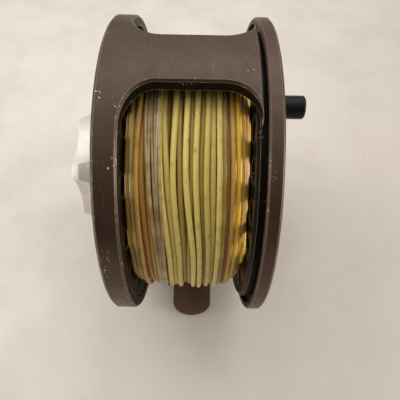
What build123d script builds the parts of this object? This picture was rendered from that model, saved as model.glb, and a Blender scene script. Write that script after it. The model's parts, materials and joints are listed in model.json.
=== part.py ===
from build123d import *
import os
from math import cos, radians, sin, tan

# A fly reel with an open frame, a palming-rim spool and a sealed disc drag.
# Millimetres. The origin is the middle of the foot's underside, +Z is up, and
# the axle runs along X: the drag knob is at -X and the handle at +X.
# World angles about the axle are measured from the front (-Y) upwards.

# ---- Driving dimensions -------------------------------------------------
FRAME_R = 41.5            # outside of the ring, the straps and the palming rim
FOOT_DROP = 7.7           # foot's underside below the frame
AXLE_Z = FRAME_R + FOOT_DROP

PLATE_X = -19.9           # outer face of the back plate
PLATE_T = 3.0
PLATE_IN_X = PLATE_X + PLATE_T
RING_T = 2.6              # wall of the ring and the straps
RING_EDGE_X = -14.55
STRAP_EDGE_X = 14.45
STRAP_HALF_W = 7.3
STRAP_FLARE_R = 7.6       # flare at the strap's free edge
RING_FLARE_X = 7.4        # flare where the strap meets the ring
RING_FLARE_Y = 9.7
EDGE_WEAR = 0.45          # broken edge round the frame

PLATE_PORTS = 16
PLATE_PORT_ANGLE = 47.5   # world angle of one port
PLATE_PORT_R = 2.7
PLATE_PORT_PCD_R = 33.4

FOOT_L = 67.0
FOOT_W = 13.9
FOOT_END_T = 1.0
FOOT_CROWN_Z = 4.6
FOOT_TIP = 4.5            # how far the rounded end runs back
PEDESTAL_L = 26.0
PAD_Z = 6.4               # joint between the foot and the frame
PAD_L = 24.0
FOOT_SCREW_Y = 8.0

LEFT_FLANGE_X = -16.1
LEFT_FLANGE_T = 1.25
LEFT_FLANGE_R = 38.3
RIGHT_FLANGE_X = 13.6
RIGHT_FLANGE_T = 1.5
RIGHT_FLANGE_R = 38.0
RIM_X = 15.5              # left edge of the palming rim
RIM_W = 3.3
RIM_T = 1.5
RIM_WEB_X = 16.9
RIM_WEB_T = 1.2
ARBOR_R = 21.0
ARBOR_T = 1.6
SPOOL_PORTS = 22
SPOOL_PORT_ANGLE = 53.8
SPOOL_PORT_R = 3.0
SPOOL_PORT_PCD_R = 32.9
HANDLE_PORT = 8           # the handle stands in place of this port
WEIGHT_PORT = 19          # and the counterweight in place of this one

BACKING_R = 27.4
LINE_R_LEFT = 34.6
LINE_R_MID = 35.5
LINE_R_RIGHT = 33.7
LEADER_D = 0.5
LINE_GAP = 0.12           # line stands off the flanges by this
LINE_EDGE_R = 0.7

SPINDLE_R = 3.0
SPINDLE_TAIL_R = 4.0
SPINDLE_END_X = 11.6
HOUSING_R = 17.0
HOUSING_BORE_R = 12.2
HOUSING_END_X = -7.2
HOUSING_WALL = 2.0
HOUSING_SCREW_PCD_R = 13.6
SLEEVE_R = 6.2            # drag rotor's sleeve, the clutch's inner race
HUB_R = 11.0
HUB_BORE_R = 8.85
HUB_END_X = 8.4
DOG_R = 1.4
DOG_PCD_R = 8.2
GEAR_TEETH = 24
GEAR_TIP_R = 13.6
GEAR_ROOT_R = 12.0
GEAR_X = -5.3
GEAR_T = 1.8
PAWL_PIN_ANGLE = 100.0    # local angles, from +Y towards +Z
PAWL_TIP_ANGLE = 67.5
PAWL_PIN_PCD_R = 15.7
PAWL_BACK_R = 15.5
PAWL_BELLY_R = 14.0

KNOB_R = 15.4
KNOB_X = -32.3
KNOB_BASE_X = -20.2
KNOB_SHOULDER_X = -30.3
KNOB_LANDS = 5
KNOB_LAND_ANGLE = 47.7    # world angle of one land
SCALLOP_R = 15.0
SCALLOP_TILT = 17.0       # degrees, deepest at the knob's outer end
SCALLOP_FLOOR_R = KNOB_R - 4.4
SCALLOP_LEAD = 7.0        # the cutter starts this far outside the knob
THRUST_PIN_PCD_R = 9.6

HANDLE_PCD_R = 29.8
HANDLE_ANGLE = 188.6
HANDLE_R = 4.1
HANDLE_X = 17.1
HANDLE_END_X = 38.8
HANDLE_BOSS_R = 4.4

RUN_CLEAR = 0.05          # running clearance on a radius

AXLE = Axis((0, 0, AXLE_Z), (1, 0, 0))
AXIAL = Plane(origin=(0, 0, AXLE_Z), x_dir=(1, 0, 0), z_dir=(0, -1, 0))


def across(x, centre=(0.0, 0.0)):
    """The plane square to the axle at x: its own x is +Y, and its own y is +Z."""
    return Plane(
        origin=(x, centre[0], AXLE_Z + centre[1]), x_dir=(0, 1, 0), z_dir=(1, 0, 0)
    )


def about_axle(radius, world_angle):
    """A point's (Y, Z) from the axle, at a world angle from the front upwards."""
    return (-radius * cos(radians(world_angle)), radius * sin(radians(world_angle)))


def polar(radius, local_angle):
    """A point in the plane square to the axle, from +Y towards +Z."""
    return (radius * cos(radians(local_angle)), radius * sin(radians(local_angle)))


def ring(x_from, x_to, r_outer, r_inner=0.0, centre=(0.0, 0.0), break_edge=0.0):
    """A ring or a disc whose axis is parallel to the axle."""
    with BuildPart() as piece:
        with BuildSketch(across(x_from, centre)):
            Circle(r_outer)
            if r_inner > 0:
                Circle(r_inner, mode=Mode.SUBTRACT)
        extrude(amount=x_to - x_from)
        if break_edge > 0:
            chamfer(piece.edges().filter_by(GeomType.CIRCLE), break_edge)
    return piece


def turned(points):
    """A part turned about the axle from its (x, radius) outline."""
    with BuildPart() as piece:
        with BuildSketch(AXIAL):
            with BuildLine():
                Polyline(*points, close=True)
            make_face()
        revolve(axis=AXLE)
    return piece


def countersunk_screw(head_x, tip_x, head_r, shank_r, centre):
    """A flat-headed screw along X with a cross recess, its head at head_x."""
    way = 1 if tip_x > head_x else -1
    head_depth = head_r - shank_r
    with BuildPart() as piece:
        with BuildSketch(across(head_x, centre)):
            Circle(head_r)
        with BuildSketch(across(head_x + way * head_depth, centre)):
            Circle(shank_r)
        loft()
        with BuildSketch(across(head_x + way * head_depth, centre)):
            Circle(shank_r)
        extrude(amount=tip_x - head_x - way * head_depth)
        with BuildSketch(across(head_x, centre)):
            Rectangle(head_r * 1.2, head_r * 0.28)
            Rectangle(head_r * 0.28, head_r * 1.2)
        extrude(amount=way * head_depth * 0.7, mode=Mode.SUBTRACT)
    return piece


# ---- Frame --------------------------------------------------------------
# The straps are the tube between the ring and the free edge, cut to the
# outline they show from above: two flared bridges, one up and one down.
with BuildPart() as straps:
    with BuildSketch(across(RING_EDGE_X - 1.0)):
        Circle(FRAME_R)
        Circle(FRAME_R - RING_T, mode=Mode.SUBTRACT)
    extrude(amount=STRAP_EDGE_X - RING_EDGE_X + 1.0)
    with BuildSketch(Plane.XY):
        with BuildLine():
            ring_side = Line(
                (RING_EDGE_X - 1.0, 0), (RING_EDGE_X - 1.0, STRAP_HALF_W + RING_FLARE_Y)
            )
            Line(ring_side @ 1, (RING_EDGE_X, STRAP_HALF_W + RING_FLARE_Y))
            EllipticalCenterArc(
                (RING_EDGE_X + RING_FLARE_X, STRAP_HALF_W + RING_FLARE_Y),
                RING_FLARE_X,
                RING_FLARE_Y,
                start_angle=180,
                arc_size=90,
            )
            Line(
                (RING_EDGE_X + RING_FLARE_X, STRAP_HALF_W),
                (STRAP_EDGE_X - STRAP_FLARE_R, STRAP_HALF_W),
            )
            CenterArc(
                (STRAP_EDGE_X - STRAP_FLARE_R, STRAP_HALF_W + STRAP_FLARE_R),
                STRAP_FLARE_R,
                start_angle=270,
                arc_size=90,
            )
            Line((STRAP_EDGE_X, STRAP_HALF_W + STRAP_FLARE_R), (STRAP_EDGE_X, 0))
            mirror(about=Plane.XZ)
        make_face()
    extrude(amount=AXLE_Z + FRAME_R + 5.0, mode=Mode.INTERSECT)

# The pad that the foot is screwed to, under the lower strap
with BuildPart() as foot_pad:
    with BuildSketch(Plane.XY.offset(PAD_Z)):
        RectangleRounded(FOOT_W, PAD_L, 1.5)
    extrude(amount=FOOT_DROP + RING_T + 2.0 - PAD_Z)
    with BuildSketch(across(PLATE_IN_X)):
        Circle(FRAME_R - RING_T)
    extrude(amount=STRAP_EDGE_X - PLATE_IN_X, mode=Mode.SUBTRACT)

with BuildPart() as frame:
    with BuildSketch(across(PLATE_X)):
        Circle(FRAME_R)
    extrude(amount=PLATE_T)
    chamfer(frame.edges().filter_by(GeomType.CIRCLE).sort_by(Axis.X)[0], EDGE_WEAR + 0.15)
    with BuildSketch(across(PLATE_IN_X)):
        Circle(FRAME_R)
        Circle(FRAME_R - RING_T, mode=Mode.SUBTRACT)
    extrude(amount=RING_EDGE_X - PLATE_IN_X)
    add(straps.part)
    with BuildSketch(across(PLATE_IN_X)):
        Circle(FRAME_R - RING_T)
    extrude(amount=STRAP_EDGE_X - PLATE_IN_X + 1.0, mode=Mode.SUBTRACT)
    # Break the outer edges round the two windows and along the straps
    window_edges = [
        edge
        for edge in frame.edges()
        if edge.center().X > RING_EDGE_X - 0.01
        and all(
            abs(Vector(0, spot.Y, spot.Z - AXLE_Z).length - FRAME_R) < 0.01
            for spot in (edge @ 0, edge @ 0.5, edge @ 1)
        )
    ]
    chamfer(window_edges, EDGE_WEAR)
    add(foot_pad.part)
    # A shallow step dishes the middle of the outer face
    with BuildSketch(across(PLATE_X)):
        Circle(29.0)
        Circle(18.5, mode=Mode.SUBTRACT)
    extrude(amount=0.8, mode=Mode.SUBTRACT)
    # Ports, thrust pin holes and the spindle's seat
    with BuildSketch(across(PLATE_X)):
        with PolarLocations(PLATE_PORT_PCD_R, PLATE_PORTS, 180 - PLATE_PORT_ANGLE):
            Circle(PLATE_PORT_R)
        with PolarLocations(THRUST_PIN_PCD_R, 3, 90):
            Circle(1.05)
        Circle(SPINDLE_TAIL_R + 0.02)
    extrude(amount=PLATE_T, mode=Mode.SUBTRACT)
    # Countersinks and holes for the housing screws
    for corner in range(4):
        seat = polar(HOUSING_SCREW_PCD_R, 45 + 90 * corner)
        with BuildSketch(across(PLATE_X, seat)):
            Circle(1.52)
        with BuildSketch(across(PLATE_X + 0.6, seat)):
            Circle(0.92)
        loft(mode=Mode.SUBTRACT)
        with BuildSketch(across(PLATE_X + 0.5, seat)):
            Circle(0.97)
        extrude(amount=PLATE_T, mode=Mode.SUBTRACT)
    # Tapped holes for the foot screws
    with BuildSketch(Plane.XY.offset(PAD_Z)):
        with Locations((0, FOOT_SCREW_Y), (0, -FOOT_SCREW_Y)):
            Circle(1.5)
    extrude(amount=3.4, mode=Mode.SUBTRACT)

# ---- Foot ---------------------------------------------------------------
with BuildPart() as reel_foot:
    with BuildSketch(Plane.YZ):
        with BuildLine():
            base = Line((-FOOT_L / 2, 0), (FOOT_L / 2, 0))
            toe = Line(base @ 1, (FOOT_L / 2, FOOT_END_T))
            crown = ThreePointArc(
                toe @ 1, (0, FOOT_CROWN_Z), (-FOOT_L / 2, FOOT_END_T)
            )
            Line(crown @ 1, base @ 0)
        make_face()
    extrude(amount=FOOT_W / 2, both=True)
    # Seen from above the ends are shallow ovals
    with BuildSketch(Plane.XY):
        with BuildLine():
            side = Line(
                (FOOT_W / 2, -FOOT_L / 2 + FOOT_TIP), (FOOT_W / 2, FOOT_L / 2 - FOOT_TIP)
            )
            end = EllipticalCenterArc(
                (0, FOOT_L / 2 - FOOT_TIP), FOOT_W / 2, FOOT_TIP, start_angle=0, arc_size=180
            )
            Line(end @ 1, (-FOOT_W / 2, -FOOT_L / 2 + FOOT_TIP))
            EllipticalCenterArc(
                (0, -FOOT_L / 2 + FOOT_TIP), FOOT_W / 2, FOOT_TIP, start_angle=180, arc_size=180
            )
        make_face()
    extrude(amount=FOOT_CROWN_Z + 1.0, mode=Mode.INTERSECT)
    # Across its width the top is crowned too
    with BuildSketch(Plane.XZ):
        with BuildLine():
            Polyline(
                (-FOOT_W / 2, FOOT_CROWN_Z - 1.6),
                (-FOOT_W / 2, 0),
                (FOOT_W / 2, 0),
                (FOOT_W / 2, FOOT_CROWN_Z - 1.6),
            )
            ThreePointArc(
                (FOOT_W / 2, FOOT_CROWN_Z - 1.6),
                (0, FOOT_CROWN_Z),
                (-FOOT_W / 2, FOOT_CROWN_Z - 1.6),
            )
        make_face()
    extrude(amount=FOOT_L, both=True, mode=Mode.INTERSECT)
    # Pedestal up to the frame's pad
    with BuildSketch(Plane.XY.offset(1.0)):
        RectangleRounded(FOOT_W, PEDESTAL_L, 2.5)
    with BuildSketch(Plane.XY.offset(PAD_Z)):
        RectangleRounded(FOOT_W, PAD_L, 1.5)
    loft()
    for screw_y in (-FOOT_SCREW_Y, FOOT_SCREW_Y):
        with Locations(Plane(origin=(0, screw_y, 0), z_dir=(0, 0, -1))):
            CounterSinkHole(1.55, 2.95, depth=PAD_Z + 1.0, counter_sink_angle=90)

with BuildPart() as foot_screws:
    for screw_y in (-FOOT_SCREW_Y, FOOT_SCREW_Y):
        with BuildSketch(Plane.XY.offset(0.1).shift_origin((0, screw_y, 0.1))):
            Circle(2.8)
        with BuildSketch(Plane.XY.offset(1.4).shift_origin((0, screw_y, 1.4))):
            Circle(1.45)
        loft()
        with BuildSketch(Plane.XY.offset(1.4).shift_origin((0, screw_y, 1.4))):
            Circle(1.45)
        extrude(amount=8.0)
        with BuildSketch(Plane.XY.offset(0.1).shift_origin((0, screw_y, 0.1))):
            RegularPolygon(1.2, 6)
        extrude(amount=1.0, mode=Mode.SUBTRACT)

# ---- Spindle and drag housing -------------------------------------------
spindle = turned(
    [
        (-30.6, 0),
        (-30.6, 3.6),
        (-30.35, SPINDLE_TAIL_R),
        (-30.35, 3.4),
        (-29.65, 3.4),
        (-29.65, SPINDLE_TAIL_R),
        (PLATE_IN_X, SPINDLE_TAIL_R),
        (PLATE_IN_X, 7.0),
        (-15.4, 7.0),
        (-15.4, SPINDLE_R),
        (9.7, SPINDLE_R),
        (9.9, 2.5),
        (10.4, 2.5),
        (10.6, SPINDLE_R),
        (SPINDLE_END_X - 0.7, SPINDLE_R),
        (SPINDLE_END_X, SPINDLE_R - 0.7),
        (SPINDLE_END_X, 0),
    ]
)

with BuildPart() as drag_housing:
    with BuildSketch(AXIAL):
        with BuildLine():
            Polyline(
                (PLATE_IN_X, HOUSING_BORE_R),
                (PLATE_IN_X, HOUSING_R),
                (HOUSING_END_X - 0.6, HOUSING_R),
                (HOUSING_END_X, HOUSING_R - 0.6),
                (HOUSING_END_X, 6.95),
                (HOUSING_END_X - HOUSING_WALL, 6.95),
                (HOUSING_END_X - HOUSING_WALL, HOUSING_BORE_R),
                close=True,
            )
        make_face()
    revolve(axis=AXLE)
    with BuildSketch(across(PLATE_IN_X)):
        with PolarLocations(HOUSING_SCREW_PCD_R, 4, 45):
            Circle(0.97)
    extrude(amount=4.6, mode=Mode.SUBTRACT)
    with BuildSketch(across(HOUSING_END_X)):
        with Locations(polar(PAWL_PIN_PCD_R - 0.1, PAWL_PIN_ANGLE)):
            Circle(0.82)
    extrude(amount=-2.2, mode=Mode.SUBTRACT)

with BuildPart() as housing_screws:
    for corner in range(4):
        seat = polar(HOUSING_SCREW_PCD_R, 45 + 90 * corner)
        add(countersunk_screw(PLATE_X + 0.05, PLATE_IN_X + 4.2, 1.45, 0.92, seat).part)

housing_seal = ring(HOUSING_END_X - 1.7, HOUSING_END_X - 0.3, 6.9, SLEEVE_R + 0.05)

# ---- Drag stack ---------------------------------------------------------
# From the back plate inwards: thrust ring, spring washer, pressure plate,
# friction washer, rotor, friction washer, end wall of the housing.
with BuildPart() as thrust_ring:
    with BuildSketch(AXIAL):
        with BuildLine():
            Polyline(
                (-27.2, 4.4),
                (-27.2, 7.7),
                (-26.9, 8.0),
                (-22.4, 8.0),
                (-22.4, 12.0),
                (-20.9, 12.0),
                (-20.9, 4.4),
                close=True,
            )
        make_face()
    revolve(axis=AXLE)
    with BuildSketch(across(-20.9)):
        with PolarLocations(THRUST_PIN_PCD_R, 3, 90):
            Circle(0.95)
    extrude(amount=4.9)

belleville_washer = turned(
    [(-15.95, 8.3), (-15.95, 9.4), (-15.45, 12.0), (-15.0, 12.0), (-15.5, 8.3)]
)
pressure_plate = ring(-14.95, -13.6, 12.0, 7.5, break_edge=0.2)
friction_washer_inner = ring(-12.95, -12.05, 12.1, 7.3)
friction_washer_outer = ring(-10.15, -9.25, 12.1, 7.3)

drag_rotor = turned(
    [
        (-12.0, 4.65),
        (-12.0, 11.7),
        (-10.2, 11.7),
        (-10.2, SLEEVE_R),
        (3.7, SLEEVE_R),
        (4.0, SLEEVE_R - 0.3),
        (4.0, 4.65),
    ]
)

with BuildPart() as rotor_bushings:
    for bush_x in (-12.0, 0.0):
        with BuildSketch(across(bush_x)):
            Circle(4.6)
            Circle(SPINDLE_R + RUN_CLEAR, mode=Mode.SUBTRACT)
        extrude(amount=4.0)

# ---- One-way clutch and drive hub ---------------------------------------
clutch_shell = turned(
    [
        (-4.6, 6.5),
        (-4.6, HUB_BORE_R - 0.05),
        (3.6, HUB_BORE_R - 0.05),
        (3.6, 6.5),
        (3.1, 6.5),
        (3.1, 7.85),
        (-4.1, 7.85),
        (-4.1, 6.5),
    ]
)

with BuildPart() as clutch_rollers:
    with BuildSketch(across(-4.0)):
        with PolarLocations(7.04, 10):
            Circle(0.75)
    extrude(amount=7.0)

with BuildPart() as drive_hub:
    with BuildSketch(AXIAL):
        with BuildLine():
            Polyline(
                (-5.4, HUB_BORE_R),
                (-5.4, HUB_R),
                (GEAR_X + GEAR_T + 0.05, HUB_R),
                (GEAR_X + GEAR_T + 0.05, 12.6),
                (-2.4, 12.6),
                (-2.4, HUB_R),
                (HUB_END_X - 0.5, HUB_R),
                (HUB_END_X, HUB_R - 0.5),
                (HUB_END_X, 5.55),
                (5.0, 5.55),
                (5.0, HUB_BORE_R),
                close=True,
            )
        make_face()
    revolve(axis=AXLE)
    with BuildSketch(across(HUB_END_X)):
        with PolarLocations(DOG_PCD_R, 3, 30):
            Circle(DOG_R)
    extrude(amount=3.0)

hub_bushing = ring(5.0, HUB_END_X, 5.5, SPINDLE_R + RUN_CLEAR)

with BuildPart() as click_gear:
    tooth_pitch = 360 / GEAR_TEETH
    with BuildSketch(across(GEAR_X)):
        Circle(GEAR_ROOT_R)
        with BuildLine(mode=Mode.PRIVATE) as tooth_outline:
            Polyline(
                polar(GEAR_ROOT_R - 0.3, -0.33 * tooth_pitch),
                polar(GEAR_TIP_R, -0.12 * tooth_pitch),
                polar(GEAR_TIP_R, 0.12 * tooth_pitch),
                polar(GEAR_ROOT_R - 0.3, 0.33 * tooth_pitch),
                close=True,
            )
        tooth = make_face(tooth_outline.edges(), mode=Mode.PRIVATE)
        with PolarLocations(0, GEAR_TEETH):
            add(tooth)
        Circle(HUB_R + 0.02, mode=Mode.SUBTRACT)
    extrude(amount=GEAR_T)

# ---- Click pawl ---------------------------------------------------------
pawl_seat = polar(PAWL_PIN_PCD_R, PAWL_PIN_ANGLE)
pin_seat = polar(PAWL_PIN_PCD_R - 0.1, PAWL_PIN_ANGLE)
pawl_sweep = PAWL_PIN_ANGLE - PAWL_TIP_ANGLE
with BuildPart() as click_pawl:
    with BuildSketch(across(GEAR_X)):
        with BuildLine():
            back = CenterArc((0, 0), PAWL_BACK_R, PAWL_TIP_ANGLE - 3.5, pawl_sweep + 3.5)
            Line(back @ 1, polar(PAWL_BELLY_R, PAWL_PIN_ANGLE))
            belly = CenterArc((0, 0), PAWL_BELLY_R, PAWL_TIP_ANGLE + 3.0, pawl_sweep - 3.0)
            Polyline(
                belly @ 0,
                polar(12.5, PAWL_TIP_ANGLE + 0.8),
                polar(12.5, PAWL_TIP_ANGLE - 0.8),
                polar(PAWL_BELLY_R, PAWL_TIP_ANGLE - 3.5),
                back @ 0,
            )
        make_face()
        with Locations(pawl_seat):
            Circle(1.65)
            Circle(0.9, mode=Mode.SUBTRACT)
    extrude(amount=GEAR_T)

pawl_pin = ring(HOUSING_END_X - 2.0, -1.6, 0.8, centre=pin_seat)

spring_axis = Axis((0, pin_seat[0], AXLE_Z + pin_seat[1]), (1, 0, 0))
with BuildPart() as click_spring:
    for turn in range(3):
        with BuildSketch(AXIAL.offset(-pin_seat[0])):
            with Locations((-3.1 + 0.42 * turn, pin_seat[1] + 1.15)):
                Circle(0.24)
        revolve(axis=spring_axis)

# ---- Drag knob ----------------------------------------------------------
with BuildPart() as drag_knob:
    with BuildSketch(AXIAL):
        with BuildLine():
            Polyline(
                (KNOB_BASE_X, 4.1),
                (KNOB_BASE_X, KNOB_R),
                (KNOB_SHOULDER_X, KNOB_R),
                (KNOB_X, KNOB_R - 0.75),
                (KNOB_X, 4.1),
                close=True,
            )
        make_face()
    revolve(axis=AXLE)
    # Scallops between the lands, deepest at the outer end
    slope = tan(radians(SCALLOP_TILT))
    for scallop in range(KNOB_LANDS):
        world = KNOB_LAND_ANGLE + (scallop + 0.5) * 360 / KNOB_LANDS
        outward = Vector(0, *about_axle(1.0, world))
        cutter_r = SCALLOP_FLOOR_R + SCALLOP_R / cos(radians(SCALLOP_TILT))
        rise = outward * (cutter_r - slope * SCALLOP_LEAD)
        cutter_start = Vector(KNOB_X - SCALLOP_LEAD, 0, AXLE_Z) + rise
        cutter_way = (Vector(1, 0, 0) + outward * slope).normalized()
        sideways = outward.cross(Vector(1, 0, 0))
        with BuildSketch(Plane(origin=cutter_start, x_dir=sideways, z_dir=cutter_way)):
            Circle(SCALLOP_R)
        extrude(amount=30.0, mode=Mode.SUBTRACT)
    outer_rim = drag_knob.faces().sort_by(Axis.X)[0].edges().filter_by(
        lambda edge: (edge @ 0.5 - Vector(KNOB_X, 0, AXLE_Z)).length > 8
    )
    fillet(outer_rim, 0.5)
    # Bores: recess for the cap, seat for the clip, seat for the nut, cavity
    for bore_from, bore_to, bore_r in (
        (KNOB_X, -29.6, 8.0),
        (-27.6, KNOB_BASE_X, 9.62),
        (-22.9, KNOB_BASE_X, 12.6),
        (-29.1, -28.1, 5.2),
    ):
        with BuildSketch(across(bore_from)):
            Circle(bore_r)
        extrude(amount=bore_to - bore_from, mode=Mode.SUBTRACT)

knob_insert = ring(-27.55, -22.95, 9.6, 8.05, break_edge=0.2)
knob_clip = ring(-30.3, -29.7, 6.0, 3.45)
knob_cap = ring(-32.5, -31.0, 7.95, break_edge=0.3)
with BuildPart() as knob_o_ring:
    with BuildSketch(AXIAL):
        with Locations((-28.6, 4.65)):
            Circle(0.48)
    revolve(axis=AXLE)

# ---- Spool --------------------------------------------------------------
handle_seat = about_axle(HANDLE_PCD_R, HANDLE_ANGLE)
weight_seat = about_axle(HANDLE_PCD_R, HANDLE_ANGLE - 180)
ARBOR_IN_R = ARBOR_R - ARBOR_T
LEFT_FACE_X = LEFT_FLANGE_X + LEFT_FLANGE_T
RIGHT_FACE_X = RIGHT_FLANGE_X + RIGHT_FLANGE_T
with BuildPart() as spool:
    with BuildSketch(AXIAL):
        with BuildLine():
            Polyline(
                (LEFT_FLANGE_X, ARBOR_IN_R),
                (LEFT_FLANGE_X, LEFT_FLANGE_R),
                (LEFT_FACE_X, LEFT_FLANGE_R),
                (LEFT_FACE_X, ARBOR_R),
                (RIGHT_FLANGE_X, ARBOR_R),
                (RIGHT_FLANGE_X, RIGHT_FLANGE_R - 0.8),
                (RIGHT_FLANGE_X + 0.7, RIGHT_FLANGE_R),
                (RIGHT_FACE_X, RIGHT_FLANGE_R),
                (RIM_WEB_X, RIGHT_FLANGE_R),
                (RIM_WEB_X, FRAME_R - RIM_T),
                (RIM_X, FRAME_R - RIM_T),
                (RIM_X, FRAME_R - 0.35),
                (RIM_X + 0.35, FRAME_R),
                (RIM_X + RIM_W - 0.5, FRAME_R),
                (RIM_X + RIM_W, FRAME_R - 0.5),
                (RIM_X + RIM_W, FRAME_R - RIM_T),
                (RIM_WEB_X + RIM_WEB_T, RIGHT_FLANGE_R),
                (RIM_WEB_X + RIM_WEB_T, RIGHT_FLANGE_R - 1.3),
                (RIGHT_FACE_X, RIGHT_FLANGE_R - 1.3),
                (RIGHT_FACE_X, 8.6),
                (RIGHT_FACE_X + 0.9, 8.6),
                (RIGHT_FACE_X + 0.9, 5.0),
                (12.0, 5.0),
                (12.0, SPINDLE_R + RUN_CLEAR),
                (10.5, SPINDLE_R + RUN_CLEAR),
                (10.5, 4.65),
                (9.8, 4.65),
                (9.8, SPINDLE_R + RUN_CLEAR),
                (8.9, SPINDLE_R + RUN_CLEAR),
                (8.9, 11.4),
                (RIGHT_FLANGE_X, 11.4),
                (RIGHT_FLANGE_X, ARBOR_IN_R),
                close=True,
            )
        make_face()
    revolve(axis=AXLE)
    # Ports: the left flange's line up with the back plate's
    with BuildSketch(across(LEFT_FLANGE_X)):
        with PolarLocations(PLATE_PORT_PCD_R, PLATE_PORTS, 180 - PLATE_PORT_ANGLE):
            Circle(PLATE_PORT_R)
    extrude(amount=LEFT_FLANGE_T, mode=Mode.SUBTRACT)
    with BuildSketch(across(RIGHT_FLANGE_X)):
        for port in range(SPOOL_PORTS):
            if port not in (HANDLE_PORT, WEIGHT_PORT):
                port_angle = SPOOL_PORT_ANGLE + port * 360 / SPOOL_PORTS
                with Locations(about_axle(SPOOL_PORT_PCD_R, port_angle)):
                    Circle(SPOOL_PORT_R)
    extrude(amount=RIGHT_FLANGE_T, mode=Mode.SUBTRACT)
    # Drive holes that slide onto the hub's dogs, and seats on the face
    with BuildSketch(across(8.9)):
        with PolarLocations(DOG_PCD_R, 3, 30):
            Circle(DOG_R + 0.1)
    extrude(amount=2.9, mode=Mode.SUBTRACT)
    with BuildSketch(across(RIGHT_FACE_X, handle_seat)):
        Circle(HANDLE_BOSS_R)
    extrude(amount=1.3)
    with BuildSketch(across(RIGHT_FLANGE_X, handle_seat)):
        Circle(1.62)
    with BuildSketch(across(RIGHT_FLANGE_X, weight_seat)):
        Circle(1.02)
    extrude(amount=3.0, mode=Mode.SUBTRACT)

counterweight = ring(RIGHT_FACE_X, RIGHT_FACE_X + 2.9, 4.8, 1.1, weight_seat)
with BuildPart() as counterweight_screw:
    with BuildSketch(across(RIGHT_FLANGE_X + 0.2, weight_seat)):
        Circle(1.0)
    extrude(amount=4.2)
    with BuildSketch(across(RIGHT_FACE_X + 2.95, weight_seat)):
        Circle(2.1)
        Rectangle(5.0, 0.5, mode=Mode.SUBTRACT)
    extrude(amount=0.8)
    with BuildSketch(across(RIGHT_FACE_X + 2.4, weight_seat)):
        Circle(1.0)
    extrude(amount=0.75)

# ---- Handle -------------------------------------------------------------
with BuildPart() as handle_post:
    with BuildSketch(across(RIGHT_FLANGE_X + 0.1, handle_seat)):
        Circle(1.6)
    extrude(amount=RIGHT_FACE_X + 1.35 - RIGHT_FLANGE_X)
    with BuildSketch(across(RIGHT_FACE_X + 1.35, handle_seat)):
        Circle(1.9)
    extrude(amount=36.0 - RIGHT_FACE_X - 1.35)
    with BuildSketch(across(36.0, handle_seat)):
        Circle(1.02)
    extrude(amount=-6.0, mode=Mode.SUBTRACT)
handle_washer = ring(RIGHT_FACE_X + 1.4, RIGHT_FACE_X + 1.95, 3.6, 1.95, handle_seat)
handle_bushing = ring(HANDLE_X + 0.05, 35.15, 2.6, 1.9 + RUN_CLEAR, handle_seat)
with BuildPart() as handle_knob:
    with BuildSketch(across(HANDLE_X, handle_seat)):
        Circle(HANDLE_R)
    extrude(amount=HANDLE_END_X - HANDLE_X)
    knob_ends = handle_knob.edges().filter_by(GeomType.CIRCLE).sort_by(Axis.X)
    fillet(knob_ends[-1], 0.8)
    fillet(knob_ends[0], 0.5)
    for bore_from, bore_to, bore_r in (
        (HANDLE_X, 35.2, 2.62),
        (35.2, 36.2, 2.0),
        (36.1, HANDLE_END_X, 3.2),
    ):
        with BuildSketch(across(bore_from, handle_seat)):
            Circle(bore_r)
        extrude(amount=bore_to - bore_from, mode=Mode.SUBTRACT)
with BuildPart() as handle_screw:
    with BuildSketch(across(36.15, handle_seat)):
        Circle(2.9)
    extrude(amount=1.7)
    chamfer(handle_screw.edges().filter_by(GeomType.CIRCLE).sort_by(Axis.X)[-1], 0.4)
    with BuildSketch(across(36.15, handle_seat)):
        Circle(1.0)
    extrude(amount=-5.6)
    with BuildSketch(across(37.85, handle_seat)):
        Rectangle(6.0, 0.7)
    extrude(amount=-0.8, mode=Mode.SUBTRACT)

# ---- Spool release ------------------------------------------------------
latch_ring = ring(9.85, 10.45, 4.6, SPINDLE_R + RUN_CLEAR)
release_button = turned(
    [
        (12.9, 0),
        (12.9, 1.5),
        (14.9, 1.5),
        (14.9, 4.85),
        (15.9, 4.85),
        (15.9, 3.9),
        (17.5, 3.9),
        (17.9, 3.4),
        (17.9, 0),
    ]
)
with BuildPart() as button_spring:
    with BuildLine() as coil:
        Helix(pitch=0.8, height=2.2, radius=2.9, center=(12.35, 0, AXLE_Z), direction=(1, 0, 0))
    with BuildSketch(Plane(origin=coil.line @ 0, z_dir=coil.line % 0)):
        Circle(0.25)
    sweep(is_frenet=True)
hub_bezel = ring(RIGHT_FACE_X + 0.9, RIGHT_FACE_X + 1.8, 7.9, 4.0)

# ---- Line ---------------------------------------------------------------
line_left_x = LEFT_FACE_X + LINE_GAP
line_right_x = RIGHT_FLANGE_X - LINE_GAP
backing_line = ring(line_left_x, line_right_x, BACKING_R, ARBOR_R + 0.05)
with BuildPart() as fly_line:
    with BuildSketch(AXIAL):
        with BuildLine():
            left_side = Line(
                (line_left_x, BACKING_R + 0.05), (line_left_x, LINE_R_LEFT - LINE_EDGE_R)
            )
            left_turn = RadiusArc(
                left_side @ 1, (line_left_x + LINE_EDGE_R, LINE_R_LEFT), LINE_EDGE_R
            )
            outside = ThreePointArc(
                left_turn @ 1, (-0.6, LINE_R_MID), (line_right_x - LINE_EDGE_R, LINE_R_RIGHT)
            )
            right_turn = RadiusArc(
                outside @ 1, (line_right_x, LINE_R_RIGHT - LINE_EDGE_R), LINE_EDGE_R
            )
            Polyline(right_turn @ 1, (line_right_x, BACKING_R + 0.05), left_side @ 0)
        make_face()
    revolve(axis=AXLE)
with BuildPart() as leader:
    for leader_turn in range(5):
        with BuildSketch(AXIAL):
            with Locations((-8.6 + 0.62 * leader_turn, LINE_R_MID + LEADER_D / 2 + 0.1)):
                Circle(LEADER_D / 2)
        revolve(axis=AXLE)

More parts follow.
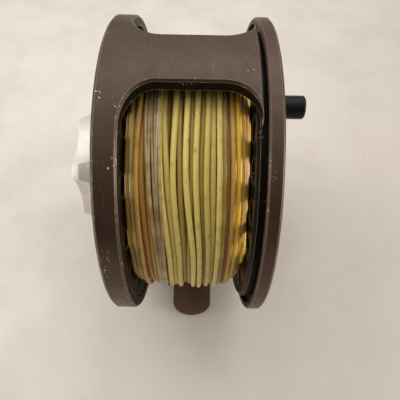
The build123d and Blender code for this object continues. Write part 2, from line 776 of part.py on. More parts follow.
# ---- Output -------------------------------------------------------------
pieces = {
    "frame": frame,
    "reel_foot": reel_foot,
    "foot_screws": foot_screws,
    "spindle": spindle,
    "drag_housing": drag_housing,
    "housing_screws": housing_screws,
    "housing_seal": housing_seal,
    "thrust_ring": thrust_ring,
    "belleville_washer": belleville_washer,
    "pressure_plate": pressure_plate,
    "friction_washer_inner": friction_washer_inner,
    "friction_washer_outer": friction_washer_outer,
    "drag_rotor": drag_rotor,
    "rotor_bushings": rotor_bushings,
    "clutch_shell": clutch_shell,
    "clutch_rollers": clutch_rollers,
    "drive_hub": drive_hub,
    "hub_bushing": hub_bushing,
    "click_gear": click_gear,
    "click_pawl": click_pawl,
    "pawl_pin": pawl_pin,
    "click_spring": click_spring,
    "drag_knob": drag_knob,
    "knob_insert": knob_insert,
    "knob_clip": knob_clip,
    "knob_cap": knob_cap,
    "knob_o_ring": knob_o_ring,
    "spool": spool,
    "counterweight": counterweight,
    "counterweight_screw": counterweight_screw,
    "handle_post": handle_post,
    "handle_washer": handle_washer,
    "handle_bushing": handle_bushing,
    "handle_knob": handle_knob,
    "handle_screw": handle_screw,
    "latch_ring": latch_ring,
    "release_button": release_button,
    "button_spring": button_spring,
    "hub_bezel": hub_bezel,
    "backing_line": backing_line,
    "fly_line": fly_line,
    "leader": leader,
}
os.makedirs("parts", exist_ok=True)
for label, piece in pieces.items():
    piece.part.label = label
    export_step(piece.part, f"parts/{label}.step")
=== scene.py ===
import json
import math
import random

import bmesh
import bpy
from mathutils import Matrix, Vector


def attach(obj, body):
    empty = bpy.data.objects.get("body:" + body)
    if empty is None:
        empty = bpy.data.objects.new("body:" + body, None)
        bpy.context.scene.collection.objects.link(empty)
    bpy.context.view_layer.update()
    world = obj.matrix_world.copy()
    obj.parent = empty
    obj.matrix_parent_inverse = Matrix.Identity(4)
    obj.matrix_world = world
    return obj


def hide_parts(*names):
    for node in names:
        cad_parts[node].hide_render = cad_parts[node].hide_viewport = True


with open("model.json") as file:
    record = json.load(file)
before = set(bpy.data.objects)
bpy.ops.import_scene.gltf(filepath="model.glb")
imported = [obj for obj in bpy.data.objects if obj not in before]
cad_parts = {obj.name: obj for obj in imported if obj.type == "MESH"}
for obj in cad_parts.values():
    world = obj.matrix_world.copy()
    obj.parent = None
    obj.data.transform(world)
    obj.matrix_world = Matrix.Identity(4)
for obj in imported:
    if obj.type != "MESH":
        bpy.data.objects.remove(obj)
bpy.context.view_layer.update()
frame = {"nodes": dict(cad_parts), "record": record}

MM = 0.001
AXLE_Z = 49.2 * MM
NODES = frame["nodes"]


def srgb(red, green, blue):
    """A colour given as 0 to 255 display values, as the linear values a shader takes."""
    def linear(value):
        value = value / 255
        return value / 12.92 if value <= 0.04045 else ((value + 0.055) / 1.055) ** 2.4
    return (linear(red), linear(green), linear(blue), 1.0)


# ---- Camera -------------------------------------------------------------
# Angles without a unit are in radians.
CAMERA_ELEVATION = math.radians(55.2)     # about the axle, from the front
CAMERA_DISTANCE = 115.25 * MM             # from the axle
CAMERA_SIDE = 1.45 * MM
CAMERA_PITCH = 0.0883                     # aims this far below the axle
CAMERA_YAW = 0.00743
CAMERA_ROLL = 0.0174
LENS_MM = 33.73
SENSOR_MM = 36.0


def make_camera():
    """The camera that the photograph was taken from, fitted to the reel's outlines."""
    towards = Vector((0, -math.cos(CAMERA_ELEVATION), math.sin(CAMERA_ELEVATION)))
    upward = Vector((0, math.sin(CAMERA_ELEVATION), math.cos(CAMERA_ELEVATION)))
    across = Vector((1, 0, 0))
    forward = (
        across * math.sin(CAMERA_YAW) * math.cos(CAMERA_PITCH)
        - upward * math.sin(CAMERA_PITCH)
        - towards * math.cos(CAMERA_YAW) * math.cos(CAMERA_PITCH)
    )
    right = (across * math.cos(CAMERA_YAW) + towards * math.sin(CAMERA_YAW)).normalized()
    up = right.cross(forward)
    rolled_right = right * math.cos(CAMERA_ROLL) + up * math.sin(CAMERA_ROLL)
    rolled_up = up * math.cos(CAMERA_ROLL) - right * math.sin(CAMERA_ROLL)
    data = bpy.data.cameras.new("camera")
    data.lens = LENS_MM
    data.sensor_width = SENSOR_MM
    data.clip_start = 0.005
    data.clip_end = 20.0
    camera = bpy.data.objects.new("camera", data)
    turn = Matrix((rolled_right, rolled_up, -forward)).transposed()
    place = Vector((CAMERA_SIDE, 0, AXLE_Z)) + towards * CAMERA_DISTANCE
    camera.matrix_world = Matrix.Translation(place) @ turn.to_4x4()
    bpy.context.scene.collection.objects.link(camera)
    bpy.context.scene.camera = camera


make_camera()


# ---- Node helpers -------------------------------------------------------
EDGE_FLAT = 0.995                  # how far a rounded normal agrees with the true one
EDGE_SHARP = 0.90


class Shader:
    """A material under construction: a principled shader and the nodes that feed it."""

    def __init__(self, name, **constants):
        self.material = bpy.data.materials.new(name)
        self.material.use_nodes = True
        self.tree = self.material.node_tree
        self.main = self.tree.nodes["Principled BSDF"]
        for socket, value in constants.items():
            self.main.inputs[socket.replace("_", " ")].default_value = value
        self.place = self.node("ShaderNodeTexCoord").outputs["Object"]

    def node(self, kind, **settings):
        made = self.tree.nodes.new(kind)
        for key, value in settings.items():
            setattr(made, key, value)
        return made

    def link(self, source, target):
        self.tree.links.new(source, target)

    def feed(self, socket, source):
        self.link(source, self.main.inputs[socket])

    def value(self, operation, first, second=None, clamp=False):
        made = self.node("ShaderNodeMath", operation=operation, use_clamp=clamp)
        for slot, given in enumerate((first, second)):
            if given is None:
                continue
            if isinstance(given, (int, float)):
                made.inputs[slot].default_value = given
            else:
                self.link(given, made.inputs[slot])
        return made.outputs[0]

    def noise(self, size_mm, detail=3.0, stretch=(1, 1, 1), roughness=0.55):
        """Noise from 0 to 1 with features of about that size."""
        mapping = self.node("ShaderNodeMapping")
        mapping.inputs["Scale"].default_value = stretch
        self.link(self.place, mapping.inputs["Vector"])
        made = self.node("ShaderNodeTexNoise")
        made.inputs["Scale"].default_value = 1 / (size_mm * MM)
        made.inputs["Detail"].default_value = detail
        made.inputs["Roughness"].default_value = roughness
        self.link(mapping.outputs["Vector"], made.inputs["Vector"])
        return made.outputs["Fac"]

    def ramp(self, source, low, high, from_value=0.0, to_value=1.0):
        """source from low to high, mapped smoothly onto from_value to to_value."""
        made = self.node("ShaderNodeMapRange", interpolation_type="SMOOTHSTEP")
        self.link(source, made.inputs["Value"])
        made.inputs["From Min"].default_value = low
        made.inputs["From Max"].default_value = high
        made.inputs["To Min"].default_value = from_value
        made.inputs["To Max"].default_value = to_value
        return made.outputs["Result"]

    def mix(self, share, first, second):
        """A colour between first and second; each is a colour or a socket."""
        made = self.node("ShaderNodeMix", data_type="RGBA")
        self.link(share, made.inputs["Factor"])
        for socket, given in ((made.inputs[6], first), (made.inputs[7], second)):
            if isinstance(given, tuple):
                socket.default_value = given
            else:
                self.link(given, socket)
        return made.outputs[2]

    def axle_parts(self):
        """(x, radius about the axle, angle about it) at the shaded point, in metres and radians."""
        split = self.node("ShaderNodeSeparateXYZ")
        self.link(self.place, split.inputs[0])
        height = self.value("SUBTRACT", split.outputs["Z"], AXLE_Z)
        square = self.value(
            "ADD",
            self.value("MULTIPLY", split.outputs["Y"], split.outputs["Y"]),
            self.value("MULTIPLY", height, height),
        )
        forwards = self.value("MULTIPLY", split.outputs["Y"], -1.0)
        angle = self.value("ARCTAN2", height, forwards)
        return split.outputs["X"], self.value("SQRT", square), angle

    def edges(self, radius_mm):
        """About 1 on a sharp edge and 0 on the flat, from a rounded normal."""
        bevel = self.node("ShaderNodeBevel", samples=6)
        bevel.inputs["Radius"].default_value = radius_mm * MM
        geometry = self.node("ShaderNodeNewGeometry")
        dot = self.node("ShaderNodeVectorMath", operation="DOT_PRODUCT")
        self.link(bevel.outputs["Normal"], dot.inputs[0])
        self.link(geometry.outputs["Normal"], dot.inputs[1])
        return self.ramp(dot.outputs["Value"], EDGE_FLAT, EDGE_SHARP)

    def bump(self, source, depth_mm, strength):
        """A normal raised by source, up to depth_mm."""
        made = self.node("ShaderNodeBump")
        made.inputs["Strength"].default_value = strength
        made.inputs["Distance"].default_value = depth_mm * MM
        self.link(source, made.inputs["Height"])
        return made.outputs["Normal"]


def paint(node_name, material):
    """Gives a CAD node its material."""
    slots = NODES[node_name].data.materials
    if len(slots) == 0:
        slots.append(material)
    for index in range(len(slots)):
        slots[index] = material


# ---- Metals -------------------------------------------------------------
RIM_GROOVE_R = 37.8 * MM           # the groove behind the palming rim starts here
RIM_GROOVE_DEPTH = 1.9 * MM
SHELTER_BLEND = 0.1                # mm over which a sheltered surface turns dark
ANODISE_TINT = (1.0, 0.84, 0.66, 1.0)
# Near black painted shade for the recessed walls, the inner faces and the groove behind the palming
# rim.
PAINTED_SHADE_BLACK = srgb(20, 15, 11)
# Lighter edge colour: a painted highlight along the chamfered edges, together with edge wear.
EDGE_HIGHLIGHT_AND_WEAR = srgb(176, 168, 152)
SCRATCHED = srgb(150, 140, 124)
BARE_METAL = srgb(232, 222, 206)
KNOCKED_FROM_X = -19.4 * MM        # the ring's outer edge, where most knocks are
KNOCKED_TO_X = -16.8 * MM
TURNED_PITCH = 0.25 * MM           # from one lathe ring to the next
TURNED_DULL = 0.82                 # how bright a turned metal's dull patches are
HANDLE_RING_PITCH = 0.35 * MM
BRAID_PITCH = 0.5 * MM             # along the axle
BRAID_CROSSINGS = 190.0            # per radian about the axle


def anodised(name, base, deep, chip_amount, sheltered_mm, open_x_mm):
    """Hard-anodised aluminium, worn to bare metal on its edges.

    Surfaces nearer the axle than sheltered_mm are near black, painted shade,
    except on the outer face, which lies beyond open_x_mm.
    """
    shader = Shader(
        name,
        Metallic=0.2,
        Coat_Roughness=0.40,
        Coat_Tint=ANODISE_TINT,
        Specular_Tint=ANODISE_TINT,
    )
    blotch = shader.noise(14.0, 2.0)
    colour = shader.mix(shader.ramp(blotch, 0.35, 0.70), base, deep)
    fine = shader.noise(0.7, 4.0)
    dulled_and_shaded = shader.mix(shader.ramp(fine, 0.45, 0.75, 0.0, 0.45), colour, deep)
    along, radius, _ = shader.axle_parts()
    shelter_start = (sheltered_mm - SHELTER_BLEND) * MM
    shelter = shader.ramp(radius, shelter_start, sheltered_mm * MM, 1.0, 0.0)
    open_start = (open_x_mm - SHELTER_BLEND) * MM
    if open_x_mm < 0:
        inside = shader.ramp(along, open_start, open_x_mm * MM)
    else:
        groove_end = RIM_GROOVE_R + 0.2 * MM
        lip = shader.ramp(radius, RIM_GROOVE_R, groove_end, 0.0, RIM_GROOVE_DEPTH)
        level = shader.value("SUBTRACT", along, lip)
        inside = shader.ramp(level, open_start, open_x_mm * MM, 1.0, 0.0)
    # Painted shade: recessed walls, inner faces and the groove behind the palming rim turn near
    # black and lose their coat and sheen.
    painted_shade = shader.value("MULTIPLY", shelter, inside, clamp=True)
    dulled_and_shaded = shader.mix(painted_shade, dulled_and_shaded, PAINTED_SHADE_BLACK)
    shader.feed("Coat Weight", shader.ramp(painted_shade, 0.0, 1.0, 0.30, 0.0))
    shader.feed("Specular IOR Level", shader.ramp(painted_shade, 0.0, 1.0, 0.55, 0.15))
    edge = shader.edges(0.28)
    # Every edge gets a lighter colour: a painted highlight line along the chamfers, mixed with edge
    # wear.
    edge_marked = shader.mix(shader.value("MULTIPLY", edge, 0.55), dulled_and_shaded, EDGE_HIGHLIGHT_AND_WEAR)
    scratch = shader.noise(0.5, 3.0, stretch=(1.0, 0.05, 0.05))
    edge_marked = shader.mix(shader.ramp(scratch, 0.67, 0.74, 0.0, 0.22), edge_marked, SCRATCHED)
    chips = shader.noise(1.0, 5.0, roughness=0.72)
    chipped = shader.ramp(chips, 0.63 - chip_amount, 0.69 - chip_amount)
    worn = shader.value("MULTIPLY", edge, chipped, clamp=True)
    specks = shader.ramp(shader.noise(0.40, 2.0), 0.645, 0.675)
    knocked = shader.ramp(along, KNOCKED_FROM_X, KNOCKED_TO_X, 0.10, 0.0)
    patches = shader.value("ADD", shader.noise(5.0, 2.0), knocked)
    spots = shader.value("MULTIPLY", specks, shader.ramp(patches, 0.63, 0.68), clamp=True)
    bare = shader.value("MAXIMUM", worn, spots)
    shader.feed("Base Color", shader.mix(bare, edge_marked, BARE_METAL))
    shader.feed("Roughness", shader.ramp(shader.noise(2.5, 4.0), 0.3, 0.7, 0.40, 0.54))
    shader.feed("Normal", shader.bump(shader.noise(0.12, 2.0), 0.004, 0.35))
    return shader.material


def turned_metal(name, base, rough):
    """Machined metal with fine lathe rings about the axle."""
    shader = Shader(name, Metallic=1.0)
    along, radius, _ = shader.axle_parts()
    ring = shader.value("ADD", along, radius)
    wave = shader.value("SINE", shader.value("MULTIPLY", ring, math.tau / TURNED_PITCH))
    patch = shader.noise(1.6, 4.0)
    low = tuple(channel * TURNED_DULL for channel in base[:3]) + (1.0,)
    shader.feed("Base Color", shader.mix(shader.ramp(patch, 0.3, 0.75), base, low))
    shader.feed("Roughness", shader.ramp(patch, 0.3, 0.7, rough - 0.05, rough + 0.07))
    shader.feed("Normal", shader.bump(wave, 0.003, 0.25))
    return shader.material


def blasted_silver():
    """The drag knob's satin silver, bead-blasted, with a brighter rubbed edge."""
    shader = Shader("blasted_silver", Metallic=0.60)
    cloud = shader.noise(6.0, 3.0)
    colour = shader.mix(shader.ramp(cloud, 0.3, 0.75), srgb(240, 236, 229), srgb(226, 219, 206))
    edge = shader.edges(0.35)
    edge_marked = shader.value("MULTIPLY", edge, shader.ramp(shader.noise(1.5, 3.0), 0.4, 0.6))
    colour = shader.mix(edge_marked, colour, srgb(252, 250, 246))
    shader.feed("Base Color", colour)
    shader.feed("Roughness", shader.ramp(shader.noise(0.3, 2.0), 0.3, 0.7, 0.50, 0.60))
    shader.feed("Normal", shader.bump(shader.noise(0.10, 2.0), 0.004, 0.4))
    return shader.material


def plain_polymer(name, base, low, rough, grain_mm, depth_mm):
    """Moulded plastic, rubber or composite with a fine surface grain."""
    shader = Shader(name)
    shader.feed("Base Color", shader.mix(shader.ramp(shader.noise(2.2, 4.0), 0.3, 0.7), base, low))
    patch = shader.noise(1.0, 3.0)
    shader.feed("Roughness", shader.ramp(patch, 0.3, 0.7, rough - 0.05, rough + 0.06))
    shader.feed("Normal", shader.bump(shader.noise(grain_mm, 3.0), depth_mm, 0.5))
    return shader.material


def handle_black():
    """The handle's black barrel: lathe rings and pale rubbed ends."""
    shader = Shader("handle_black", Specular_IOR_Level=0.22)
    along, _, _ = shader.axle_parts()
    wave = shader.value("SINE", shader.value("MULTIPLY", along, math.tau / HANDLE_RING_PITCH))
    colour = shader.mix(
        shader.ramp(shader.noise(1.4, 4.0), 0.35, 0.75), srgb(12, 12, 11), srgb(20, 19, 17)
    )
    patches = shader.ramp(shader.noise(1.0, 4.0), 0.5, 0.7)
    edge = shader.value("MULTIPLY", shader.edges(0.3), patches)
    shader.feed("Base Color", shader.mix(edge, colour, srgb(90, 86, 78)))
    shader.feed("Roughness", shader.ramp(shader.noise(0.8, 3.0), 0.3, 0.7, 0.34, 0.46))
    shader.feed("Normal", shader.bump(wave, 0.004, 0.3))
    return shader.material


def coated_line(name, base, low, dirt, soft):
    """Coated line: each turn a little different, and darker with painted shade where its tone is
    high, with handling marks along it.
    """
    shader = Shader(name)
    shader.main.inputs["Subsurface Weight"].default_value = soft
    shader.main.inputs["Subsurface Radius"].default_value = (1.0, 0.75, 0.3)
    shader.main.inputs["Subsurface Scale"].default_value = 0.5 * MM
    tone_and_shade = shader.node("ShaderNodeAttribute", attribute_name="tone_and_shade").outputs["Fac"]
    # Painted shade: a high tone moves a turn towards the darker low colour, for turns lying low in
    # the gaps and for the under layers.
    colour = shader.mix(tone_and_shade, base, low)
    patch = shader.noise(2.4, 4.0, stretch=(3.0, 1.0, 1.0))
    colour = shader.mix(shader.ramp(patch, 0.52, 0.80, 0.0, 0.6), colour, dirt)
    shader.feed("Base Color", colour)
    shader.feed("Roughness", shader.ramp(shader.noise(0.7, 3.0), 0.3, 0.7, 0.36, 0.52))
    shader.feed("Normal", shader.bump(shader.noise(0.25, 2.0), 0.01, 0.35))
    return shader.material


def braid():
    """Braided backing: a tight diamond weave."""
    shader = Shader("braid", Roughness=0.85)
    along, _, angle = shader.axle_parts()
    turn = shader.value("MULTIPLY", angle, BRAID_CROSSINGS)
    side = shader.value("MULTIPLY", along, math.tau / BRAID_PITCH)
    first = shader.value("SINE", shader.value("ADD", turn, side))
    second = shader.value("SINE", shader.value("SUBTRACT", turn, side))
    weave = shader.value("MULTIPLY", first, second)
    colour = shader.mix(shader.ramp(weave, -0.6, 0.6), srgb(190, 184, 170), srgb(226, 222, 210))
    shader.feed("Base Color", colour)
    shader.feed("Normal", shader.bump(weave, 0.06, 0.6))
    return shader.material


def clear_mono():
    """Clear monofilament, slightly smoky."""
    shader = Shader("clear_mono", Roughness=0.14, IOR=1.45, Transmission_Weight=0.10)
    colour = shader.mix(
        shader.ramp(shader.noise(3.0, 3.0), 0.3, 0.7), srgb(226, 200, 152), srgb(188, 156, 108)
    )
    shader.feed("Base Color", colour)
    shader.feed("Normal", shader.bump(shader.noise(0.4, 2.0), 0.01, 0.2))
    return shader.material


FRAME_ANODISE = anodised("frame_anodise", srgb(62, 44, 34), srgb(52, 31, 22), 0.08, 41.0, -18.9)
SPOOL_ANODISE = anodised("spool_anodise", srgb(68, 45, 35), srgb(56, 34, 25), 0.03, 40.9, 15.1)
FOOT_ANODISE = anodised("foot_anodise", srgb(84, 62, 48), srgb(66, 46, 36), 0.05, 1.0, -60.0)
STEEL = turned_metal("turned_steel", srgb(196, 194, 190), 0.26)
BRASS = turned_metal("turned_brass", srgb(206, 172, 104), 0.30)
SATIN = turned_metal("satin_aluminium", srgb(226, 223, 216), 0.36)
SILVER = blasted_silver()
RUBBER = plain_polymer("seal_rubber", srgb(24, 24, 24), srgb(34, 33, 32), 0.62, 0.15, 0.01)
NYLON = plain_polymer("nylon", srgb(228, 224, 210), srgb(214, 208, 192), 0.42, 0.3, 0.01)
CARBON = plain_polymer("carbon_disc", srgb(40, 40, 43), srgb(28, 28, 30), 0.50, 0.2, 0.02)
BLACK = handle_black()
BRAID = braid()
MONO = clear_mono()

MATERIAL_OF_SLOT = {
    "anodised_frame": FRAME_ANODISE,
    "anodised_spool": SPOOL_ANODISE,
    "satin_aluminium": SATIN,
    "steel": STEEL,
    "brass": BRASS,
    "rubber_seal": RUBBER,
    "friction_composite": CARBON,
    "nylon": NYLON,
    "handle_black": BLACK,
    "backing": BRAID,
    "leader": MONO,
}
for entry in frame["record"]["subparts"]:
    if entry["material_slot"] in MATERIAL_OF_SLOT:
        paint(entry["node"], MATERIAL_OF_SLOT[entry["material_slot"]])
paint("reel_foot", FOOT_ANODISE)
paint("drag_knob", SILVER)
paint("knob_cap", SILVER)


# ---- Wound line ---------------------------------------------------------
# One turn of line goes once round the axle. The outer turns are given as
# (place along the axle in mm at the top of the window, at its middle, at its
# bottom, height above the layer in mm, tone, colour of line). The tone is partly
# the turn's own colour and partly painted shade, high on turns lying low in the gaps.
# The places were read off the photo's strands and turned into mm by a scratch
# program, then changed by hand by a few tenths. The heights, tones and kinds were
# chosen by hand. report.md lists this table as a departure from the brief.
LINE_D = 1.28
TOP_ANGLE = 79.5                   # world angles of the three places
MIDDLE_ANGLE = 51.5
BOTTOM_ANGLE = 13.5
BACK_ANGLE = 235.0
# Gold is painted light: a yellower, more translucent copy of the line, for turns glowing with the
# light through the ports.
KHAKI, TAN_PART_SHADE, PORT_GLOW_GOLD = range(3)
OUTER_TURNS = (
    (-13.9, -13.9, -14.0, -1.3, 0.0, KHAKI),
    (-13.0, -12.9, -12.7, -0.8, 0.2, KHAKI),
    (-11.3, -11.9, -11.5, 0.3, 0.3, TAN_PART_SHADE),
    (-10.6, -10.8, -10.0, -0.2, 0.6, TAN_PART_SHADE),
    (-9.8, -9.4, -8.8, -0.1, 0.4, TAN_PART_SHADE),
    (-8.7, -8.2, -7.5, -0.3, 0.6, TAN_PART_SHADE),
    (-7.9, -7.4, -6.3, -0.1, 0.6, KHAKI),
    (-7.0, -6.6, -4.9, 0.6, 0.0, KHAKI),
    (-6.0, -5.1, -3.6, 0.3, 0.4, KHAKI),
    (-3.4, -3.8, -2.5, 0.7, 0.1, KHAKI),
    (-2.6, -2.4, -1.5, 0.0, 0.8, KHAKI),
    (-1.0, -1.1, 0.8, 0.9, 0.0, KHAKI),
    (0.1, 0.1, -0.3, -0.1, 0.7, KHAKI),
    (1.4, 1.1, 2.2, 0.9, 0.1, KHAKI),
    (2.6, 2.2, 3.3, 0.1, 0.9, KHAKI),
    (3.6, 3.4, 4.3, 0.6, 0.3, KHAKI),
    (4.7, 4.8, 5.3, 0.4, 0.5, KHAKI),
    (6.0, 6.2, 6.4, 0.7, 0.1, KHAKI),
    (7.1, 7.3, 7.5, -0.1, 0.8, KHAKI),
    (8.1, 8.2, 8.5, -0.5, 0.9, TAN_PART_SHADE),
    (8.9, 9.4, 9.4, -0.2, 0.4, TAN_PART_SHADE),
    (10.1, 10.5, 10.6, -0.1, 0.1, PORT_GLOW_GOLD),
    (11.2, 11.6, 11.3, -0.3, 0.5, TAN_PART_SHADE),
    (12.0, 12.2, 12.1, -0.9, 0.4, TAN_PART_SHADE),
    (13.0, 12.9, 12.7, -1.4, 0.0, PORT_GLOW_GOLD),
)
OUTER_R = 34.4                     # centre line of the outer turns
LAYER_STEP = 1.2                   # mm from one layer to the next
UNDER_LAYERS = 5
UNDER_TURNS = 19
UNDER_LEAN = 0.25                  # mm that an under turn may slant either way
# Under turns towards the flanges are tan: partly the line's own colour, partly painted shade.
TAN_PART_SHADE_BEYOND_X = 8                   # mm from the middle where under turns are tan
LEFT_LIMIT = -14.0                 # centre line of the turns next to the flanges
RIGHT_LIMIT = 12.7
ARBOR_R = 28.1                     # no turn goes below this radius
SINK_SHARE = 0.92                  # how fully a lower turn clears the one above
ROUND_WAVE = 0.10                  # mm of wave in radius, and in the leader's place
STATIONS = 96                      # round each turn
SIDES = 12                         # round the line itself
SMOOTHING_PASSES = 3


def smooth_through(angles, values, angle):
    """A smooth value at an angle, from values at rising angles (cubic Hermite)."""
    last = len(angles) - 1
    span = 0
    while span < last - 1 and angle > angles[span + 1]:
        span += 1

    def slope(index):
        before = max(index - 1, 0)
        after = min(index + 1, last)
        return (values[after] - values[before]) / (angles[after] - angles[before])

    width = angles[span + 1] - angles[span]
    t = min(max((angle - angles[span]) / width, 0.0), 1.0)
    return (
        (2 * t ** 3 - 3 * t ** 2 + 1) * values[span]
        + (t ** 3 - 2 * t ** 2 + t) * width * slope(span)
        + (3 * t ** 2 - 2 * t ** 3) * values[span + 1]
        + (t ** 3 - t ** 2) * width * slope(span + 1)
    )


def station_angle(station):
    """The world angle in degrees of a station, from the back of the reel right round to it."""
    return BACK_ANGLE - 360 + 360 * station / STATIONS


def winding():
    """Every turn as {"x": [...], "r": [...], "tone", "kind"}, with one value per station."""
    dice = random.Random(7)
    turns = []

    def add_layer(places, radius):
        angles = []
        along = []
        for index, (top, middle, bottom, *_) in enumerate(places):
            follower = places[min(index + 1, len(places) - 1)]
            for stop in (BOTTOM_ANGLE, MIDDLE_ANGLE, TOP_ANGLE, BACK_ANGLE):
                angles.append(360 * index + stop)
            along += [bottom, middle, top, (top + follower[2]) / 2]
        for index, (*_, lift, tone_and_shade, kind) in enumerate(places):
            wave = dice.uniform(0, math.tau)
            swing = dice.uniform(0.02, 0.10)
            spots = []
            radii = []
            for station in range(STATIONS + 1):
                turn_angle = station_angle(station)
                x = smooth_through(angles, along, 360 * index + turn_angle)
                phase = math.radians(turn_angle)
                spots.append(x + swing * math.sin(phase * 2 + wave))
                radii.append(radius + lift + ROUND_WAVE * math.sin(phase * 3 + wave))
            turns.append({"x": spots, "r": radii, "tone_and_shade": tone_and_shade, "kind": kind})

    add_layer(OUTER_TURNS, OUTER_R)
    for layer in range(UNDER_LAYERS):
        places = []
        for number in range(UNDER_TURNS):
            share = (number + 0.5 * (layer % 2)) / (UNDER_TURNS - 0.5)
            x = LEFT_LIMIT + (RIGHT_LIMIT - LEFT_LIMIT) * share
            lean = dice.uniform(-UNDER_LEAN, UNDER_LEAN)
            kind = TAN_PART_SHADE if abs(x) > TAN_PART_SHADE_BEYOND_X else KHAKI
            # Under turns get a high tone: painted shade for the layers down in the gaps.
            places.append((x + lean, x, x - lean, 0.0, dice.uniform(0.5, 1.0), kind))
        add_layer(places, OUTER_R - LAYER_STEP * (layer + 1))
    return turns


def settle(turns):
    """Presses lower turns down until they barely sink into those above, at every station."""
    order = sorted(range(len(turns)), key=lambda index: -turns[index]["r"][0])
    for station in range(STATIONS + 1):
        placed = []
        for index in order:
            turn = turns[index]
            x = min(max(turn["x"][station], LEFT_LIMIT), RIGHT_LIMIT)
            radius = turn["r"][station]
            for other_x, other_radius in placed:
                gap = abs(x - other_x)
                if gap < LINE_D:
                    drop = math.sqrt(LINE_D ** 2 - gap ** 2)
                    if abs(radius - other_radius) < drop:
                        radius = min(radius, other_radius - drop * SINK_SHARE)
            turn["x"][station] = x
            turn["r"][station] = radius
            placed.append((x, radius))
    for turn in turns:
        smooth_radii(turn)


def smooth_radii(turn):
    """Evens out a turn's radii, so that it doesn't kink where it goes over another."""
    for _ in range(SMOOTHING_PASSES):
        radii = turn["r"]
        turn["r"] = [
            (radii[max(spot - 1, 0)] + radii[spot] * 2 + radii[min(spot + 1, STATIONS)]) / 4
            for spot in range(STATIONS + 1)
        ]


def tube_mesh(name, turns, thickness, floor_radius=0.0):
    """One mesh of tubes that follow the turns above floor_radius, with a tone for each that also
    carries painted shade.
    """
    mesh = bmesh.new()
    tone_and_shade_layer = mesh.verts.layers.float.new("tone_and_shade")
    for turn in turns:
        if min(turn["r"]) < floor_radius:
            continue
        rings = []
        for station in range(STATIONS + 1):
            angle = math.radians(station_angle(station))
            outward = Vector((0, -math.cos(angle), math.sin(angle)))
            ring = []
            for side in range(SIDES):
                around = math.tau * side / SIDES
                x = turn["x"][station] + thickness / 2 * math.sin(around)
                radius = turn["r"][station] + thickness / 2 * math.cos(around)
                vert = mesh.verts.new(Vector((x * MM, 0, AXLE_Z)) + outward * (radius * MM))
                vert[tone_and_shade_layer] = turn["tone_and_shade"]
                ring.append(vert)
            rings.append(ring)
        for near, far in zip(rings, rings[1:]):
            for side in range(SIDES):
                following = (side + 1) % SIDES
                face = mesh.faces.new((near[side], near[following], far[following], far[side]))
                face.material_index = turn["kind"]
                face.smooth = True
        mesh.faces.new(rings[0])
        mesh.faces.new(reversed(rings[-1]))
    bmesh.ops.recalc_face_normals(mesh, faces=mesh.faces[:])
    data = bpy.data.meshes.new(name)
    mesh.to_mesh(data)
    mesh.free()
    made = bpy.data.objects.new(name, data)
    bpy.context.scene.collection.objects.link(made)
    return made


turns = winding()
settle(turns)
line = tube_mesh("wound_fly_line", turns, LINE_D, ARBOR_R)
for material in (
    # The low colours are painted shade, used by turns with a high tone.
    coated_line("line_khaki", srgb(250, 228, 132), srgb(158, 130, 58), srgb(146, 108, 42), 0.12),
    # Tan: a browner line colour, partly painted shade on turns towards the flanges.
    coated_line("line_tan_part_shade", srgb(240, 192, 98), srgb(156, 106, 42), srgb(118, 78, 32), 0.10),
    # Painted light: the gold copy of the line for turns lit through the ports.
    coated_line("line_port_glow_gold", srgb(248, 206, 66), srgb(216, 160, 40), srgb(186, 122, 30), 0.25),
):
    line.data.materials.append(material)
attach(line, "spool")
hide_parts("fly_line")


# ---- Leader -------------------------------------------------------------
# Loose turns of clear leader that lie in the hollows of the line, as (place
# along the axle in mm at the top of the window, at its middle, at its bottom).
# The places were chosen beside those of the outer turns.
LEADER_D = 0.58
LEADER_TURNS = (
    (-9.9, -9.2, -8.1),
    (-9.2, -8.9, -7.6),
    (-8.7, -8.0, -7.2),
    (-8.0, -7.6, -6.9),
    (-7.3, -7.4, -6.4),
    (-6.9, -6.6, -6.2),
)


def rest_on_line(spots, line_turns):
    """The radius at each station at which a leader at those places just touches the line."""
    reach = (LINE_D + LEADER_D) / 2
    radii = []
    for station, x in enumerate(spots):
        top = OUTER_R - LINE_D
        for turn in line_turns:
            gap = abs(turn["x"][station] - x)
            if gap < reach:
                top = max(top, turn["r"][station] + math.sqrt(reach ** 2 - gap ** 2))
        radii.append(top)
    return radii


def leader_turns(line_turns):
    """The leader's turns, in the same form as the line's."""
    dice = random.Random(3)
    made = []
    for index, (top, middle, bottom) in enumerate(LEADER_TURNS):
        follower = LEADER_TURNS[min(index + 1, len(LEADER_TURNS) - 1)]
        before = LEADER_TURNS[max(index - 1, 0)]
        angles = [BACK_ANGLE - 360, BOTTOM_ANGLE, MIDDLE_ANGLE, TOP_ANGLE, BACK_ANGLE]
        along = [(before[0] + bottom) / 2, bottom, middle, top, (top + follower[2]) / 2]
        wave = dice.uniform(0, math.tau)
        spots = []
        for station in range(STATIONS + 1):
            turn_angle = station_angle(station)
            sway = ROUND_WAVE * math.sin(math.radians(turn_angle) * 3 + wave)
            spots.append(smooth_through(angles, along, turn_angle) + sway)
        radii = rest_on_line(spots, line_turns)
        made.append({"x": spots, "r": radii, "tone_and_shade": 0.5, "kind": 0})
    return made


strands = leader_turns(turns)
for strand in strands:
    smooth_radii(strand)
leader = tube_mesh("loose_leader", strands, LEADER_D)
leader.data.materials.append(MONO)
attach(leader, "spool")
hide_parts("leader")


# ---- Floor and light ----------------------------------------------------
FLOOR_SIZE = 3.0                   # metres
FLOOR_GAP = 0.1 * MM               # between the floor and the foot
FLOOR_LIGHT = srgb(229, 222, 213)
# Painted shade: the cloth's colour towards the front right.
FLOOR_PAINTED_SHADE = srgb(206, 197, 188)
FLOOR_MOTTLE = srgb(198, 189, 179)
LINT = srgb(120, 112, 104)


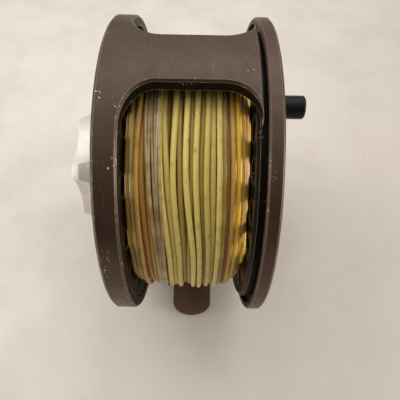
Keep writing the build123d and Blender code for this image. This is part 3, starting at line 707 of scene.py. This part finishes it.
def make_floor():
    """A pale cloth, with painted shade darkening it towards the front right, and lint on it."""
    bpy.ops.mesh.primitive_plane_add(size=FLOOR_SIZE, location=(0, 0, -FLOOR_GAP))
    floor = bpy.context.object
    floor.name = "floor"
    shader = Shader("pale_cloth", Roughness=0.9)
    split = shader.node("ShaderNodeSeparateXYZ")
    shader.link(shader.place, split.inputs[0])
    sideways = shader.value("MULTIPLY", split.outputs["X"], 1.1)
    inwards = shader.value("MULTIPLY", split.outputs["Y"], 0.7)
    slope = shader.value("SUBTRACT", sideways, inwards)
    # Painted shade: the cloth's colour darkens towards the front right.
    colour = shader.mix(shader.ramp(slope, -0.10, 0.14), FLOOR_LIGHT, FLOOR_PAINTED_SHADE)
    mottle = shader.ramp(shader.noise(24.0, 4.0), 0.35, 0.70, 0.0, 0.35)
    colour = shader.mix(mottle, colour, FLOOR_MOTTLE)
    lint = shader.ramp(shader.noise(1.6, 1.0), 0.79, 0.82, 0.0, 0.6)
    shader.feed("Base Color", shader.mix(lint, colour, LINT))
    shader.feed("Normal", shader.bump(shader.noise(30.0, 3.0), 2.0, 0.25))
    floor.data.materials.append(shader.material)


def soft_light(name, place_mm, size_mm, watts, colour, spread):
    """A square soft box that faces the reel; spread is its beam in degrees."""
    data = bpy.data.lights.new(name, "AREA")
    data.size = size_mm * MM
    data.energy = watts
    data.color = colour
    data.spread = math.radians(spread)
    light = bpy.data.objects.new(name, data)
    place = Vector(place_mm) * MM
    light.location = place
    aim = Vector((0, 0, AXLE_Z)) - place
    light.rotation_euler = aim.to_track_quat("-Z", "Y").to_euler()
    bpy.context.scene.collection.objects.link(light)


def make_surroundings():
    """A pale room, brighter overhead and behind, with a dark figure low at the front."""
    world = bpy.data.worlds.new("room")
    world.use_nodes = True
    tree = world.node_tree
    place = tree.nodes.new("ShaderNodeTexCoord").outputs["Generated"]

    def shade(direction, low, high, from_value, to_value):
        """from_value to to_value as the cosine to that direction goes from low to high."""
        dot = tree.nodes.new("ShaderNodeVectorMath")
        dot.operation = "DOT_PRODUCT"
        tree.links.new(place, dot.inputs[0])
        dot.inputs[1].default_value = direction
        made = tree.nodes.new("ShaderNodeMapRange")
        made.interpolation_type = "SMOOTHSTEP"
        tree.links.new(dot.outputs["Value"], made.inputs["Value"])
        for socket, given in zip(("From Min", "From Max", "To Min", "To Max"),
                                 (low, high, from_value, to_value)):
            made.inputs[socket].default_value = given
        return made.outputs["Result"]

    def times(first, second):
        made = tree.nodes.new("ShaderNodeMath")
        made.operation = "MULTIPLY"
        tree.links.new(first, made.inputs[0])
        tree.links.new(second, made.inputs[1])
        return made.outputs[0]

    overhead = shade((0, 0, 1), -0.1, 0.9, 0.25, 1.05)
    behind = shade((0, 1, 0), -0.8, 0.8, 0.60, 1.15)
    figure = shade((0.05, -0.97, 0.25), 0.45, 0.95, 1.0, 0.12)
    background = tree.nodes["Background"]
    background.inputs["Color"].default_value = (0.96, 0.93, 0.89, 1.0)
    tree.links.new(times(times(overhead, behind), figure), background.inputs["Strength"])
    bpy.context.scene.world = world


make_floor()
# name, place in mm, size in mm, watts, colour, beam in degrees
for lamp in (
    ("window_left", (-420, 160, 520), 360, 0.8, (1.0, 0.98, 0.95), 180),
    ("overhead_back", (40, 300, 640), 520, 1.1, (1.0, 0.99, 0.97), 180),
    ("side_right", (520, -60, 120), 160, 0.11, (1.0, 0.97, 0.92), 40),
    ("side_left", (-520, -60, 110), 160, 0.05, (1.0, 0.98, 0.95), 40),
):
    soft_light(*lamp)
make_surroundings()
bpy.context.scene.view_settings.view_transform = "Standard"
